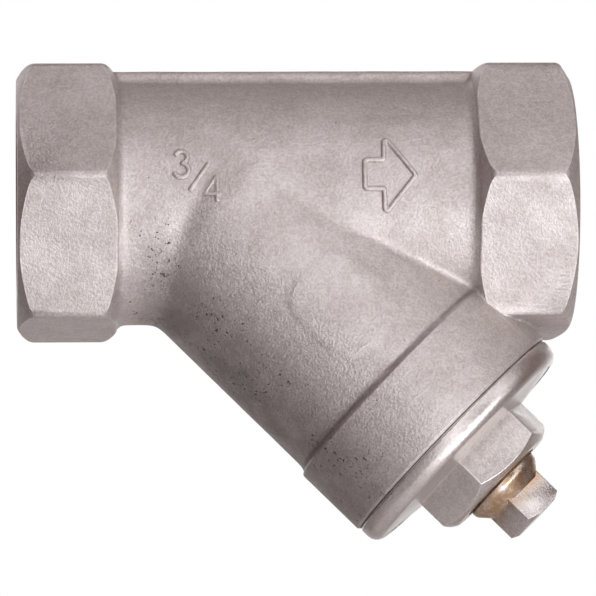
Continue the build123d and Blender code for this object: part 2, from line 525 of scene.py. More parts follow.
class Group(Nodes):
    """A shader node group that takes a Place and some numbers, and gives numbers."""

    def __init__(self, name: str, *results: str, **inputs: float) -> None:
        """Starts the group.

        Args:
            name: Name of the group.
            results: Names of its outputs.
            inputs: Its numbers and their defaults.
        """
        super().__init__(bpy.data.node_groups.new(name, "ShaderNodeTree"))
        sockets = self.tree.interface
        sockets.new_socket("Place", in_out="INPUT", socket_type="NodeSocketVector")
        for label, value in inputs.items():
            socket = sockets.new_socket(label, in_out="INPUT", socket_type="NodeSocketFloat")
            socket.default_value = value
        for label in results:
            sockets.new_socket(label, in_out="OUTPUT", socket_type="NodeSocketFloat")
        self.given = self.tree.nodes.new("NodeGroupInput").outputs
        self.place = self.given["Place"]

    def scale(self, label: str) -> Socket:
        """Noise scale for a grain size in millimetres that the group is given."""
        return self.math("DIVIDE", 1 / MM, self.given[label])

    def give(self, **results: Socket) -> bpy.types.NodeTree:
        """Puts the results out, and returns the finished group."""
        sink = self.tree.nodes.new("NodeGroupOutput")
        for label, result in results.items():
            self.tree.links.new(result, sink.inputs[label])
        return self.tree


class Effects:
    """The shader node groups that several finishes share."""

    def __init__(self) -> None:
        """Builds each group once."""
        self.grain = self.blasted_grain()
        self.mottle = self.cast_mottle()
        self.pits = self.casting_pits()
        self.wear = self.edge_wear()
        self.leg = self.leg_place()

    @staticmethod
    def blasted_grain() -> bpy.types.NodeTree:
        """Fine grain that bead blasting leaves: a height and a light-dark speckle."""
        group = Group("blasted_grain", "Height", "Speckle", Grain=0.3)
        scale = group.scale("Grain")
        fine = group.scaled_noise(group.place, scale, 3.0, 0.65)
        coarse = group.scaled_noise(group.place, group.times(scale, 0.35), 2.0)
        height = group.math("ADD", fine, group.times(coarse, 0.35))
        return group.give(Height=height, Speckle=group.remap(group.times(height, 0.74), 0.38, 0.62))

    @staticmethod
    def cast_mottle() -> bpy.types.NodeTree:
        """Broad cloudy changes of tone on a cast skin."""
        group = Group("cast_mottle", "Mask", Patch=6.0)
        cloud = group.scaled_noise(group.place, group.scale("Patch"), 5.0, 0.6)
        return group.give(Mask=group.remap(cloud, 0.32, 0.68))

    @staticmethod
    def casting_pits() -> bpy.types.NodeTree:
        """Small ragged dark pits, more of them where Amount is higher."""
        group = Group("casting_pits", "Mask", Size=0.5, Amount=0.5)
        ragged = group.scaled_noise(group.place, group.scale("Size"), 3.0, 0.7)
        level = group.math("SUBTRACT", 0.78, group.times(group.given["Amount"], 0.19))
        return group.give(Mask=group.remap(group.math("SUBTRACT", ragged, level), 0.0, 0.04))

    @staticmethod
    def leg_place() -> bpy.types.NodeTree:
        """A place's station along the leg's axis, its side of it and its distance from it, in millimetres."""
        group = Group("leg_place", "Station", "Side", "Distance")
        leg = Place.LEG.matrix()
        side, out = leg.col[0].to_3d(), leg.col[2].to_3d()
        scaled = group.vector("MULTIPLY", group.place, (1 / MM,) * 3)
        local = group.vector("SUBTRACT", scaled[0], leg.translation)[0]
        arm = group.vector("CROSS_PRODUCT", local, out)[0]
        return group.give(
            Station=group.vector("DOT_PRODUCT", local, out)["Value"],
            Side=group.vector("DOT_PRODUCT", local, side)["Value"],
            Distance=group.add("VectorMath", {0: arm}, operation="LENGTH").outputs["Value"],
        )

    @staticmethod
    def edge_wear() -> bpy.types.NodeTree:
        """Outer edges that handling has rubbed bright, with gaps."""
        group = Group("edge_wear", "Mask", Radius=0.4, Reach=0.05, Gaps=0.5)
        reach = group.given["Reach"]
        smooth = group.add("Bevel", {"Radius": group.times(group.given["Radius"], MM)}, samples=6)
        true = group.add("NewGeometry").outputs["Normal"]
        edge = group.math("SUBTRACT", 1.0, group.vector("DOT_PRODUCT", smooth.outputs[0], true)["Value"])
        rough = group.scaled_noise(group.place, 1400.0, 3.0)
        gap = group.times(group.remap(rough, 0.35, 0.65), group.given["Gaps"])
        edge = group.math("SUBTRACT", edge, group.times(gap, reach))
        mask = group.add("MapRange", {"Value": edge, "From Min": 0.0, "From Max": reach})
        return group.give(Mask=mask.outputs["Result"])


def rgb(red: float, green: float, blue: float) -> Colour:
    """A colour with full alpha."""
    return (red, green, blue, 1.0)


@dataclass(frozen=True)
class SteelFinish:
    """A stainless steel finish and what varies over it."""

    name: str
    tone: Colour = rgb(0.63, 0.585, 0.575)
    shade: Colour = rgb(0.57, 0.525, 0.515)
    smooth: float = 0.50
    rough: float = 0.62
    grain: float = 0.36
    grain_height: float = 0.11
    speckle: float = 0.42
    patch: float = 7.0
    pits: float = 0.45
    pit_size: float = 0.6
    wear: float = 0.5
    wear_radius: float = 0.40
    dark_fleck: Colour = rgb(0.25, 0.22, 0.22)
    bright_fleck: Colour = rgb(0.95, 0.92, 0.90)
    worn_tone: Colour = rgb(0.88, 0.85, 0.83)
    pit_tone: Colour = rgb(0.12, 0.10, 0.10)

    def build(self, effects: Effects) -> Finish:
        """Makes the material.

        Args:
            effects: The shared node groups.

        Returns:
            The material.
        """
        material = bpy.data.materials.new(self.name)
        tools = Nodes.fresh(material)
        place = tools.add("TexCoord").outputs["Object"]
        grain = tools.group(effects.grain, Place=place, Grain=self.grain)
        mottle = tools.group(effects.mottle, Place=place, Patch=self.patch)
        leg = tools.group(effects.leg, Place=place)
        cluster = tools.remap(tools.noise(place, 6.0), 0.30, 0.56)
        amount = tools.times(self.pit_share(tools, place, leg), cluster)
        pits = tools.group(effects.pits, Place=place, Size=self.pit_size, Amount=amount)
        wear = tools.group(effects.wear, Place=place, Radius=self.wear_radius)

        colour = tools.blend(mottle["Mask"], self.shade, self.tone)
        fleck = tools.blend(grain["Speckle"], self.dark_fleck, self.bright_fleck)
        colour = tools.blend(self.speckle, colour, fleck, "SOFT_LIGHT")
        bright = tools.times(wear["Mask"], self.wear)
        colour = tools.blend(bright, colour, self.worn_tone)
        colour = self.mark(tools, place, leg, colour)
        colour = tools.blend(pits["Mask"], colour, self.pit_tone)

        polish = tools.math("ADD", mottle["Mask"], tools.times(grain["Speckle"], -0.4))
        roughness = tools.remap(polish, -0.4, 1.0, self.rough, self.smooth)
        roughness = tools.math("SUBTRACT", roughness, tools.times(bright, 0.12))
        height = tools.math("SUBTRACT", grain["Height"], tools.times(pits["Mask"], 2.5))
        tools.surface(colour, roughness, height, self.grain_height, 1.0)
        return material

    def pit_share(self, tools: Nodes, place: Socket, leg: Sockets) -> object:
        """Share of the pits that show at a place, here the same all over."""
        return self.pits

    def mark(self, tools: Nodes, place: Socket, leg: Sockets, colour: Socket) -> Socket:
        """Adds a finish's own marks to its colour, here none."""
        return colour


@dataclass(frozen=True)
class CastSkin(SteelFinish):
    """The casting's blasted skin, pitted on its low upstream side, with painted shade in the collar's step
    and on the leg's low upstream side.
    """

    pitted_from: float = -7.0
    pitted_fully: float = -13.0
    clear_to: float = 14.8
    step_station: float = 36.3
    step_radius: float = 19.6
    step_reach: float = 0.55
    # Colour of the painted shade in the collar's step and on the leg's low upstream side.
    painted_shade_tone: Colour = rgb(0.24, 0.205, 0.20)
    side_shade_fades: Point = (18.6, 21.5)

    def pit_share(self, tools: Nodes, place: Socket, leg: Sockets) -> object:
        """Share of the pits, which grows towards the low upstream side and stays off the inlet's hexagon."""
        low = tools.remap(leg["Side"], self.pitted_fully, self.pitted_from, 1.0, 0.0)
        along = tools.add("SeparateXYZ", {0: place}).outputs["X"]
        clear = tools.remap(along, self.clear_to * MM, (self.clear_to + 1) * MM)
        return tools.math("MAXIMUM", tools.times(low, clear), self.pits)

    def mark(self, tools: Nodes, place: Socket, leg: Sockets, colour: Socket) -> Socket:
        """Adds painted shade in the crease of the step before the collar, and painted shade on the leg's low
        upstream side, which faces away from the lamps.
        """
        # Painted shade: a dark band in the crease of the collar's step.
        near = tools.remap(tools.beside(leg["Station"], self.step_station), 0.0, self.step_reach, 0.75, 0.0)
        on_leg = tools.math("LESS_THAN", leg["Distance"], self.step_radius)
        cloud = tools.remap(tools.noise(place, 2.5, detail=3.0), 0.3, 0.65, 0.45, 1.0)
        colour = tools.blend(tools.times(near, on_leg, cloud), colour, self.painted_shade_tone)
        # Painted shade: darkens the leg's low upstream side near its skin, the side that faces away from the
        # lamps.
        low = tools.remap(leg["Side"], self.pitted_fully - 4, self.pitted_from - 2, 0.55, 0.0)
        close_by = tools.remap(leg["Distance"], *self.side_shade_fades, 1.0, 0.0)
        cloud = tools.remap(tools.noise(place, 4.0, detail=4.0), 0.3, 0.6, 0.5, 1.0)
        return tools.blend(tools.times(low, close_by, cloud), colour, self.painted_shade_tone)


@dataclass(frozen=True)
class StainedSteel(SteelFinish):
    """Steel with a brown water stain round one place on the leg's axis, and a dark ring with gaps on its
    face.
    """

    stain: Colour = rgb(0.46, 0.27, 0.13)
    stain_station: float = 60.0
    stain_reach: float = 2.6
    stain_amount: float = 0.8
    ring_radius: float = 16.85
    ring_reach: float = 0.5
    ring_tone: Colour = rgb(0.16, 0.14, 0.14)

    def mark(self, tools: Nodes, place: Socket, leg: Sockets, colour: Socket) -> Socket:
        """Adds the stain, which is strongest at its station, and the dark ring with gaps on the face."""
        near = tools.remap(tools.beside(leg["Station"], self.stain_station), 0.0, self.stain_reach, 1.0, 0.0)
        cloud = tools.remap(tools.noise(place, 1.6, detail=4.0, rough=0.65), 0.30, 0.54)
        colour = tools.blend(tools.times(near, cloud, self.stain_amount), colour, self.stain)
        # A dark ring with gaps along the step where the rim's round meets the cone.
        ring = tools.remap(tools.beside(leg["Distance"], self.ring_radius), 0.0, self.ring_reach, 1.0, 0.0)
        on_face = tools.math("GREATER_THAN", leg["Station"], CAP_SEAT + 1)
        gaps = tools.remap(tools.noise(place, 0.8, detail=3.0), 0.35, 0.6)
        return tools.blend(tools.times(ring, on_face, gaps), colour, self.ring_tone)


@dataclass(frozen=True)
class PlainFinish:
    """A finish that isn't metal, such as a gasket or a sealing tape."""

    name: str
    tone: Colour
    shade: Colour
    rough: float
    grain: float
    grain_height: float = 0.015
    patch: float = 2.0

    def build(self, effects: Effects) -> Finish:
        """Makes the material.

        Args:
            effects: The shared node groups.

        Returns:
            The material.
        """
        material = bpy.data.materials.new(self.name)
        tools = Nodes.fresh(material)
        place = tools.add("TexCoord").outputs["Object"]
        grain = tools.group(effects.grain, Place=place, Grain=self.grain)
        mottle = tools.group(effects.mottle, Place=place, Patch=self.patch)
        colour = tools.blend(mottle["Mask"], self.shade, self.tone)
        roughness = tools.remap(grain["Speckle"], 0.0, 1.0, self.rough - 0.08, self.rough + 0.08)
        tools.surface(colour, roughness, grain["Height"], self.grain_height, 0.0)
        return material


# Sub-assemblies


@dataclass
class Casting:
    """The cast body: run, hexagonal ends, spine, leg, collar, passages and dividing wall."""

    run_radius: float = 17.6
    run_bore_radius: float = 13.8
    hex_flat_radius: float = 18.5
    hex_length: float = 14.4
    hex_face_radius: float = 18.0
    hex_crown: float = 31.0
    port_radius: float = 13.22
    port_crest_radius: float = 12.2
    port_depth: float = 14.5
    port_pitch: float = 1.814
    spine_width: float = 12.0
    spine_top: float = 18.46
    leg_radius: float = 18.4
    collar_radius: float = 19.15
    collar_start: float = 36.6
    chamber_radius: float = 15.0
    cap_thread_radius: float = 16.02
    cap_crest_radius: float = 15.3
    cap_thread_start: float = 36.4
    cap_pitch: float = 1.5
    thread_turns: int = 6
    divider_start: float = 0.99
    divider_end: float = 4.19
    seat_radius: float = 11.8
    seat_depth: float = 2.0
    screen_port_radius: float = 10.0
    skin: float = 0.46
    skin_passes: int = 3
    edge: float = 0.42
    under: float = 0.994
    lip: float = 0.12
    crease_reach: Point = (0.6, 3.2)
    crease_sides: Point = (-12.0, -3.0)
    crease_start: Point = (-4.0, 2.0)
    crease_passes: int = 40
    waves: tuple[Point, Point] = ((0.035, 5.0), (0.015, 1.7))
    leg_pad: Corner = (-0.3, 25.2, 0.12)
    leg_pad_half: Point = (6.2, 6.95)
    run_pad: Corner = (53.0, 0.8, 0.10)
    run_pad_half: Point = (8.3, 8.6)

    def build(self, cast: Finish, machined: Finish) -> Piece:
        """Models the casting.

        Args:
            cast: Finish of the cast skin.
            machined: Finish of the ports, threads and seats.

        Returns:
            The finished piece.
        """
        body = self.soft_skin()
        self.ease_creases(body)
        sculpt(body, self.skin_relief)
        for edge in (self.hexagon(Place.INLET), self.hexagon(Place.OUTLET), self.collar()):
            combine(body, edge, Cut.JOIN)
        dress(body, cast, machined)
        self.open_passages(body, machined)
        self.cut_threads(body, machined)
        return finish_piece(body, Place.AS_MODELLED, "body", "cast_body", 38.0)

    def collar(self) -> Piece:
        """The collar round the leg's mouth, with a low lip outside the gasket."""
        collar = turned(
            "collar",
            [
                (self.leg_radius - 1.5, self.collar_start - 0.15, 0),
                (self.leg_radius - 0.05, self.collar_start - 0.15, 0),
                (self.collar_radius, self.collar_start + 0.3, 0.4),
                (self.collar_radius, LEG_LENGTH - 0.2, 0.15),
                (self.collar_radius - 0.3, LEG_LENGTH + self.lip, 0),
                (GASKET_EDGE + 0.15, LEG_LENGTH + self.lip, 0),
                (GASKET_EDGE + 0.07, LEG_LENGTH, 0),
            ],
            segments=256,
        )
        return moved(collar, Place.LEG.matrix())

    def hexagon(self, place: Place, shrink: float = 1.0) -> Piece:
        """One hexagonal end, with its corners turned down at both faces.

        Args:
            place: The end of the run that it is for.
            shrink: Its size as a share of the real one, below 1 for the skin under it.

        Returns:
            The mesh object, in millimetres.
        """
        slope = math.tan(math.radians(self.hex_crown))
        corner = self.hex_flat_radius / math.cos(math.pi / 6)
        outer, inner = (corner - self.hex_face_radius) * slope, (corner - self.hex_flat_radius) * slope
        end = prism("hexagon", 6, self.hex_flat_radius, 0, self.hex_length, turn=90)
        soften_edges(end, self.edge)
        crown = turned(
            "crown",
            [
                (self.hex_face_radius - 3, -0.001, 0),
                (self.hex_face_radius, -0.001, 1.2),
                (corner - 0.15, outer, 1.9),
                (corner + 0.02, outer + 1.6, 0),
                (corner + 0.02, self.hex_length - inner - 1.6, 0),
                (corner - 0.15, self.hex_length - inner, 1.9),
                (self.hex_flat_radius - 0.1, self.hex_length + 0.001, 0),
            ],
            steps=4,
        )
        combine(end, crown, Cut.KEEP_SHARED)
        middle = Matrix.Translation((0, 0, self.hex_length / 2))
        return moved(end, place.matrix() @ middle @ Matrix.Scale(shrink, 4) @ middle.inverted())

    def soft_skin(self) -> Piece:
        """The casting's outside, as one skin with soft creases, a little under its crisp ends and collar."""
        neck = 0.75
        inlet_half = [
            (self.run_radius, self.hex_length / 2),
            (self.run_radius + neck, self.hex_length - 0.1),
            (self.run_radius + 0.25 * neck, self.hex_length + 0.45 * neck),
            (self.run_radius, self.hex_length + 1.3 * neck),
        ]
        outlet_half = [(radius, FACE_TO_FACE - along) for radius, along in reversed(inlet_half)]
        run = turned("run", inlet_half + outlet_half)
        leg = turned(
            "leg",
            [
                (self.leg_radius - 1.1, -3.0, 0),
                (self.leg_radius, 3.0, 8.0),
                (self.leg_radius, self.collar_start - 0.5, 0.6),
                (self.collar_radius - 0.12, self.collar_start + 0.6, 0.4),
                (self.collar_radius - 0.12, LEG_LENGTH - 0.5, 0),
                (self.collar_radius - 0.5, LEG_LENGTH - 0.1, 0),
            ],
        )
        ends = self.hex_length / 2, FACE_TO_FACE - self.hex_length / 2
        spine = prism("spine", 4, self.spine_width / 2, *ends, 45)
        moved(spine, Matrix.Diagonal((self.spine_top / self.spine_width, 1, 1, 1)))
        moved(spine, Matrix.Translation((-self.spine_top / 2, 0, 0)))
        soften_edges(spine, 0.7)
        parts = [
            self.hexagon(Place.INLET, self.under),
            self.hexagon(Place.OUTLET, self.under),
            moved(run, Place.INLET.matrix()),
            moved(spine, Place.INLET.matrix()),
            moved(leg, Place.LEG.matrix()),
        ]
        body = joined("cast_body_skin", parts)
        apply_modifier(body, "REMESH", mode="VOXEL", voxel_size=self.skin, adaptivity=0.0)
        apply_modifier(body, "SMOOTH", factor=0.5, iterations=self.skin_passes)
        return body

    def crease_share(self, point: Vector) -> float:
        """How much a point lies in the soft crease between the run and the leg's upstream side."""
        from_run = math.hypot(point.y, point.z) - self.run_radius
        local = Place.LEG.matrix().inverted() @ point
        from_leg = math.hypot(local.x, local.y) - self.leg_radius
        near = 1 - smooth_step(*self.crease_reach, abs(from_run))
        near *= 1 - smooth_step(*self.crease_reach, abs(from_leg))
        near *= 1 - smooth_step(*self.crease_sides, local.x)
        return near * smooth_step(*self.crease_start, local.z)

    def ease_creases(self, body: Piece) -> None:
        """Softens the crease on the leg's upstream side, as the photographed casting's is."""
        group = body.vertex_groups.new(name="upstream_crease")
        for point in body.data.vertices:
            share = self.crease_share(point.co)
            if share > 0.01:
                group.add([point.index], share, "REPLACE")
        passes = self.crease_passes
        apply_modifier(body, "SMOOTH", factor=0.5, iterations=passes, vertex_group="upstream_crease")
        body.vertex_groups.clear()

    def skin_relief(self, point: Vector) -> float:
        """Height of the two bare pads and of the casting's slight waviness at a point."""
        relief = sum(height * noise.noise(point / length) for height, length in self.waves) - self.waves[0][0]
        if point.y > 0:
            return relief
        local = Place.LEG.matrix().inverted() @ point
        if abs(math.hypot(local.x, local.y) - self.leg_radius) < 0.5:
            side, station, height = self.leg_pad
            relief += height * inside_pad(local.x - side, local.z - station, self.leg_pad_half, 4.0, 0.5)
        if abs(math.hypot(point.y, point.z) - self.run_radius) < 0.5:
            along, up, height = self.run_pad
            relief += height * inside_pad(point.x - along, point.z - up, self.run_pad_half, 3.5, 0.5)
        return relief

    def open_passages(self, body: Piece, machined: Finish) -> None:
        """Cuts the ports, the run's bore, the chamber and the screen's port, and leaves the dividing wall."""
        ends = self.port_depth - 1, FACE_TO_FACE - self.port_depth + 1
        bore = turned("bore", [(self.run_bore_radius, end) for end in ends])
        moved(bore, Place.INLET.matrix())
        wall = prism("wall", 4, 40.0, self.divider_start, self.divider_end, 45)
        combine(bore, moved(wall, Place.LEG.matrix()), Cut.REMOVE)
        chamber = turned(
            "chamber",
            [
                (self.screen_port_radius, self.divider_start - 1.5),
                (self.screen_port_radius, self.divider_end - self.seat_depth),
                (self.seat_radius, self.divider_end - self.seat_depth),
                (self.seat_radius, self.divider_end),
                (self.chamber_radius, self.divider_end + 0.001),
                (self.chamber_radius, self.cap_thread_start),
                (self.cap_thread_radius, self.cap_thread_start + 0.6),
                (self.cap_thread_radius, LEG_LENGTH - 0.45),
                (self.cap_thread_radius + 0.45, LEG_LENGTH),
                (self.cap_thread_radius + 1.45, LEG_LENGTH + 1),
            ],
        )
        combine(bore, moved(chamber, Place.LEG.matrix()), Cut.JOIN)
        for place in (Place.INLET, Place.OUTLET):
            port = turned(
                "port",
                [
                    (self.port_radius + 1.5, -1),
                    (self.port_radius + 0.5, 0),
                    (self.port_radius, 0.5),
                    (self.port_radius, self.port_depth),
                ],
            )
            combine(bore, moved(port, place.matrix()), Cut.JOIN)
        dress(bore, machined)
        combine(body, bore, Cut.REMOVE)

    def cut_threads(self, body: Piece, machined: Finish) -> None:
        """Adds the thread ridges of both ports and of the cap's seat."""
        port = self.port_radius, self.port_crest_radius, self.port_pitch, 0.0
        seat = self.cap_thread_radius, self.cap_crest_radius, self.cap_pitch, self.cap_thread_start
        threads = {Place.INLET: port, Place.OUTLET: port, Place.LEG: seat}
        for place, (root, crest, pitch, start) in threads.items():
            ridge = thread(root + 0.1, crest, pitch, start + 1.5, self.thread_turns)
            dress(ridge, machined)
            combine(body, moved(ridge, place.matrix()), Cut.JOIN)


@dataclass
class Signs:
    """The raised flow arrow and pipe size on the front of the run, in a plain design of their own."""

    run_radius: float = 17.6
    stroke: float = 0.84
    height_share: float = 1.1
    sunk: float = 0.05
    fineness: float = 0.11
    arrow_tail: float = 49.3
    arrow_neck: float = 52.05
    arrow_tip: float = 56.6
    arrow_middle: float = 0.66
    shaft_half: float = 2.1
    head_half: float = 5.75
    figure_height: float = 3.9
    three_centre: Point = (23.25, 2.2)
    four_centre: Point = (27.75, -1.45)
    slash_from: Point = (24.4, -1.7)
    slash_to: Point = (27.2, 2.3)

    def build(self, cast: Finish, skin: Piece) -> list[Piece]:
        """Models both signs.

        Args:
            cast: Finish of the cast skin.
            skin: The finished casting that they lie on.

        Returns:
            The finished pieces.
        """
        middle = self.arrow_middle
        half = [
            (self.arrow_tail, self.shaft_half, 0.35),
            (self.arrow_neck, self.shaft_half, 0.25),
            (self.arrow_neck + 0.1, self.head_half, 0.3),
        ]
        upper = [(along, middle + up, corner) for along, up, corner in half]
        lower = [(along, middle - up, corner) for along, up, corner in reversed(half)]
        arrow = [*upper, (self.arrow_tip, middle - 0.2, 0.4), *lower]
        flow = self.ridge("flow_arrow", [(rounded(arrow, 4, closed=True), True)], skin)
        slash = ([self.slash_from, self.slash_to], False)
        size = self.ridge("pipe_size", [*self.three(), *self.four(), slash], skin)
        for sign in (flow, size):
            finish_piece(sign, Place.AS_MODELLED, "body", None, 60.0, finish=cast)
        return [flow, size]

    @staticmethod
    def arc(centre: Point, radius: float, start: float, end: float, steps: int = 9) -> list[Point]:
        """Points on an arc, with its angles in degrees."""
        x, z = centre
        angles = [math.radians(start + (end - start) * step / steps) for step in range(steps + 1)]
        return [(x + radius * math.cos(angle), z + radius * math.sin(angle)) for angle in angles]

    def three(self) -> list[Stroke]:
        """The figure 3, as two bowls."""
        x, z = self.three_centre
        upper, lower = 0.23 * self.figure_height, 0.27 * self.figure_height
        top = self.arc((x, z + lower), upper, 165, -80)
        foot = self.arc((x, z - upper), lower, 82, -165)
        return [([*top, *foot], False)]

    def four(self) -> list[Stroke]:
        """The figure 4, as one open stroke and its stem."""
        x, z = self.four_centre
        half = self.figure_height / 2
        bar = [(x + 0.55, z + half), (x - 1.2, z - 0.4 * half), (x + 1.25, z - 0.4 * half)]
        stem = [(x + 0.55, z + half), (x + 0.55, z - half)]
        return [(bar, False), (stem, False)]

    def ridge(self, name: str, strokes: Sequence[Stroke], skin: Piece) -> Piece:
        """Makes raised strokes and lays them on the front of the casting.

        Args:
            name: Name of the piece.
            strokes: Each stroke's points of (along the run, up round the run), and whether it is closed.
            skin: The finished casting.

        Returns:
            The mesh object, in millimetres.
        """
        hold()
        bpy.ops.curve.primitive_bezier_curve_add()
        piece = named(name)
        curve = piece.data
        curve.splines.clear()
        curve.dimensions = "3D"
        curve.bevel_depth = self.stroke / 2
        curve.bevel_resolution = 4
        curve.use_fill_caps = True
        for points, closed in strokes:
            spline = curve.splines.new("POLY")
            spline.points.add(len(points) - 1)
            for knot, (along, up) in zip(spline.points, points):
                knot.co = (along, up, 0, 1)
            spline.use_cyclic_u = closed
        hold(piece)
        bpy.ops.object.convert(target="MESH")
        piece = bpy.context.object
        apply_modifier(piece, "REMESH", mode="VOXEL", voxel_size=self.fineness, adaptivity=0.0)
        apply_modifier(piece, "SMOOTH", factor=0.5, iterations=3)
        for point in piece.data.vertices:
            along, up, out = point.co
            height = self.run_radius * math.sin(up / self.run_radius)
            start = Vector((along, -2 * self.run_radius, height)) * MM
            hit, foot, normal, _ = skin.ray_cast(start, Vector((0, 1, 0)))
            if hit:
                point.co = foot / MM + normal * (self.height_share * out - self.sunk)
        tidy_shell(piece, 0.0001)
        return piece


@dataclass
class ScrewCap:
    """The screwed cap: threaded skirt, rounded rim, shallow cone, hexagonal boss and tapping."""

    rim_radius: float = 18.9
    rim_end: float = 51.45
    dome_end: float = 52.2
    skirt_tip: float = 37.9
    skirt_root_radius: float = 15.02
    skirt_crest_radius: float = 15.9
    skirt_bore_radius: float = 13.2
    pocket_radius: float = 11.8
    pocket_end: float = 49.45
    pocket_step: float = 3.0
    boss_flat_radius: float = 9.4
    boss_face_radius: float = 8.7
    boss_crown: float = 33.0
    boss_turn: float = -8.8
    tapping_radius: float = 6.35
    pitch: float = 1.5

    def build(self, finish: Finish) -> Piece:
        """Models the cap.

        Args:
            finish: Finish of the whole cap.

        Returns:
            The finished piece.
        """
        boss_corner = self.boss_flat_radius / math.cos(math.pi / 6)
        cap = turned(
            "screw_cap_skin",
            [
                (self.pocket_radius * 0.7, self.pocket_end, 0),
                (self.pocket_radius, self.pocket_end, 0.3),
                (self.pocket_radius, self.pocket_end - self.pocket_step, 0),
                (self.skirt_bore_radius, self.pocket_end - self.pocket_step, 0.3),
                (self.skirt_bore_radius, self.skirt_tip, 0),
                (self.skirt_root_radius - 0.4, self.skirt_tip, 0),
                (self.skirt_root_radius, self.skirt_tip + 0.5, 0),
                (self.skirt_root_radius, CAP_SEAT, 0),
                (GASKET_EDGE + 0.07, CAP_SEAT, 0),
                (GASKET_EDGE + 0.15, CAP_SEAT - 0.12, 0),
                (self.rim_radius - 0.2, CAP_SEAT - 0.12, 0),
                (self.rim_radius, CAP_SEAT + 0.15, 0.15),
                (self.rim_radius, self.rim_end, 1.75),
                (self.rim_radius - 2.0, self.rim_end, 0.1),
                (self.rim_radius - 2.15, self.rim_end - 0.12, 0),
                (boss_corner, self.dome_end - 0.1, 0),
                (boss_corner * 0.8, self.dome_end - 0.1, 0),
            ],
            segments=256,
        )
        combine(cap, self.boss(), Cut.JOIN)
        drill = turned(
            "drill",
            [
                (self.tapping_radius, self.pocket_end - 1),
                (self.tapping_radius, BOSS_END - 0.35),
                (self.tapping_radius + 0.35, BOSS_END),
                (self.tapping_radius + 1.35, BOSS_END + 1),
            ],
            segments=128,
        )
        combine(cap, drill, Cut.REMOVE)
        root, start = self.skirt_root_radius - 0.1, self.skirt_tip + 0.75
        combine(cap, thread(root, self.skirt_crest_radius, self.pitch, start, 6), Cut.JOIN)
        return finish_piece(cap, Place.LEG, "cap", "screw_cap", finish=finish)

    def boss(self) -> Piece:
        """The hexagonal boss, with its outer corners turned to a soft crown."""
        corner = self.boss_flat_radius / math.cos(math.pi / 6)
        boss = prism("boss", 6, self.boss_flat_radius, self.rim_end - 0.5, BOSS_END, turn=self.boss_turn)
        fall = (corner - self.boss_face_radius) * math.tan(math.radians(self.boss_crown))
        crown = turned(
            "boss_crown",
            [
                (corner + 1, self.rim_end - 1, 0),
                (corner + 1, BOSS_END - fall - 0.6, 0),
                (self.boss_face_radius, BOSS_END, 1.2),
                (self.boss_face_radius - 2, BOSS_END, 0),
            ],
            segments=128,
        )
        combine(boss, crown, Cut.KEEP_SHARED)
        soften_edges(boss, 0.28, sharper_than=22)
        return boss


@dataclass
class Plug:
    """The blow-off plug: threaded shank, domed neck and square head."""

    shank_radius: float = 5.72
    crest_radius: float = 6.2
    neck_radius: float = 5.6
    tip_hollow: Point = (3.0, 0.8)
    tip_radius: float = 3.4
    dome_radius: float = 4.75
    dome_height: float = 3.1
    dome_flat: float = 2.0
    thread_start: float = 49.2
    thread_end: float = 56.2
    square_side: float = 6.9
    square_foot: float = 59.4
    square_end: float = 65.3
    square_turn: float = -22.7
    pitch: float = 1.337

    def build(self, finish: Finish) -> Piece:
        """Models the plug.

        Args:
            finish: Finish of the whole plug.

        Returns:
            The finished piece.
        """
        plug = turned(
            "drain_plug_skin",
            [
                (self.tip_hollow[0], self.thread_start + self.tip_hollow[1], 0),
                (self.tip_radius, self.thread_start, 0.2),
                (self.shank_radius - 0.4, self.thread_start, 0),
                (self.shank_radius, self.thread_start + 0.5, 0),
                (self.shank_radius, self.thread_end, 0),
                (self.neck_radius, self.thread_end + 0.1, 0),
                (self.neck_radius, BOSS_END, 0),
                (self.neck_radius + 0.55, BOSS_END + 0.25, 0.3),
                (self.neck_radius + 0.45, BOSS_END + 1.1, 1.2),
                (self.dome_radius, BOSS_END + self.dome_height - 0.5, 0.8),
                (self.dome_radius - 0.45, BOSS_END + self.dome_height, 0.3),
                (self.dome_flat, BOSS_END + self.dome_height + 0.1, 0),
            ],
            segments=128,
        )
        half = self.square_side / 2
        square = prism("square", 4, half, self.square_foot, self.square_end, turn=self.square_turn + 45)
        crown = turned(
            "square_crown",
            [
                (half * 1.5, self.square_foot - 1),
                (half * 1.5, self.square_end - 0.75),
                (half * 1.06, self.square_end),
            ],
            segments=96,
        )
        combine(square, crown, Cut.KEEP_SHARED)
        soften_edges(square, 0.2, sharper_than=22)
        combine(plug, square, Cut.JOIN)
        root, start = self.shank_radius - 0.1, self.thread_start + 0.8
        combine(plug, thread(root, self.crest_radius, self.pitch, start, 4, 48), Cut.JOIN)
        return finish_piece(plug, Place.LEG, "plug", "drain_plug", finish=finish)


@dataclass
class Seals:
    """The flat gasket under the cap's rim, and the tape round the plug's neck."""

    gasket_inner: float = 15.95
    gasket_outer: float = GASKET_EDGE
    gasket_edge: float = 0.08
    tape_inner: float = 5.65
    tape_outer: float = 6.3
    tape_start: float = 56.25

    def build(self, gasket_finish: Finish, tape_finish: Finish) -> list[Piece]:
        """Models both seals.

        Args:
            gasket_finish: Finish of the gasket.
            tape_finish: Finish of the tape.

        Returns:
            The finished pieces.
        """
        radii, heights = (self.gasket_inner, self.gasket_outer), (LEG_LENGTH + 0.01, CAP_SEAT - 0.02)
        gasket = washer("cap_gasket_skin", radii, heights, self.gasket_edge, segments=192)
        finish_piece(gasket, Place.LEG, "gasket", "cap_gasket", finish=gasket_finish)
        tape = turned(
            "plug_seal_skin",
            [
                (self.tape_inner, self.tape_start, 0.1),
                (self.tape_outer, self.tape_start, 0.1),
                (self.tape_outer, BOSS_END - 0.15, 0.3),
                (self.tape_inner, BOSS_END + 0.12, 0.1),
            ],
            steps=3,
            segments=96,
            ring=True,
        )
        sculpt(tape, lambda point: 0.05 * noise.noise(point * 1.3))
        finish_piece(tape, Place.LEG, "seal", "plug_seal", finish=tape_finish)
        return [gasket, tape]


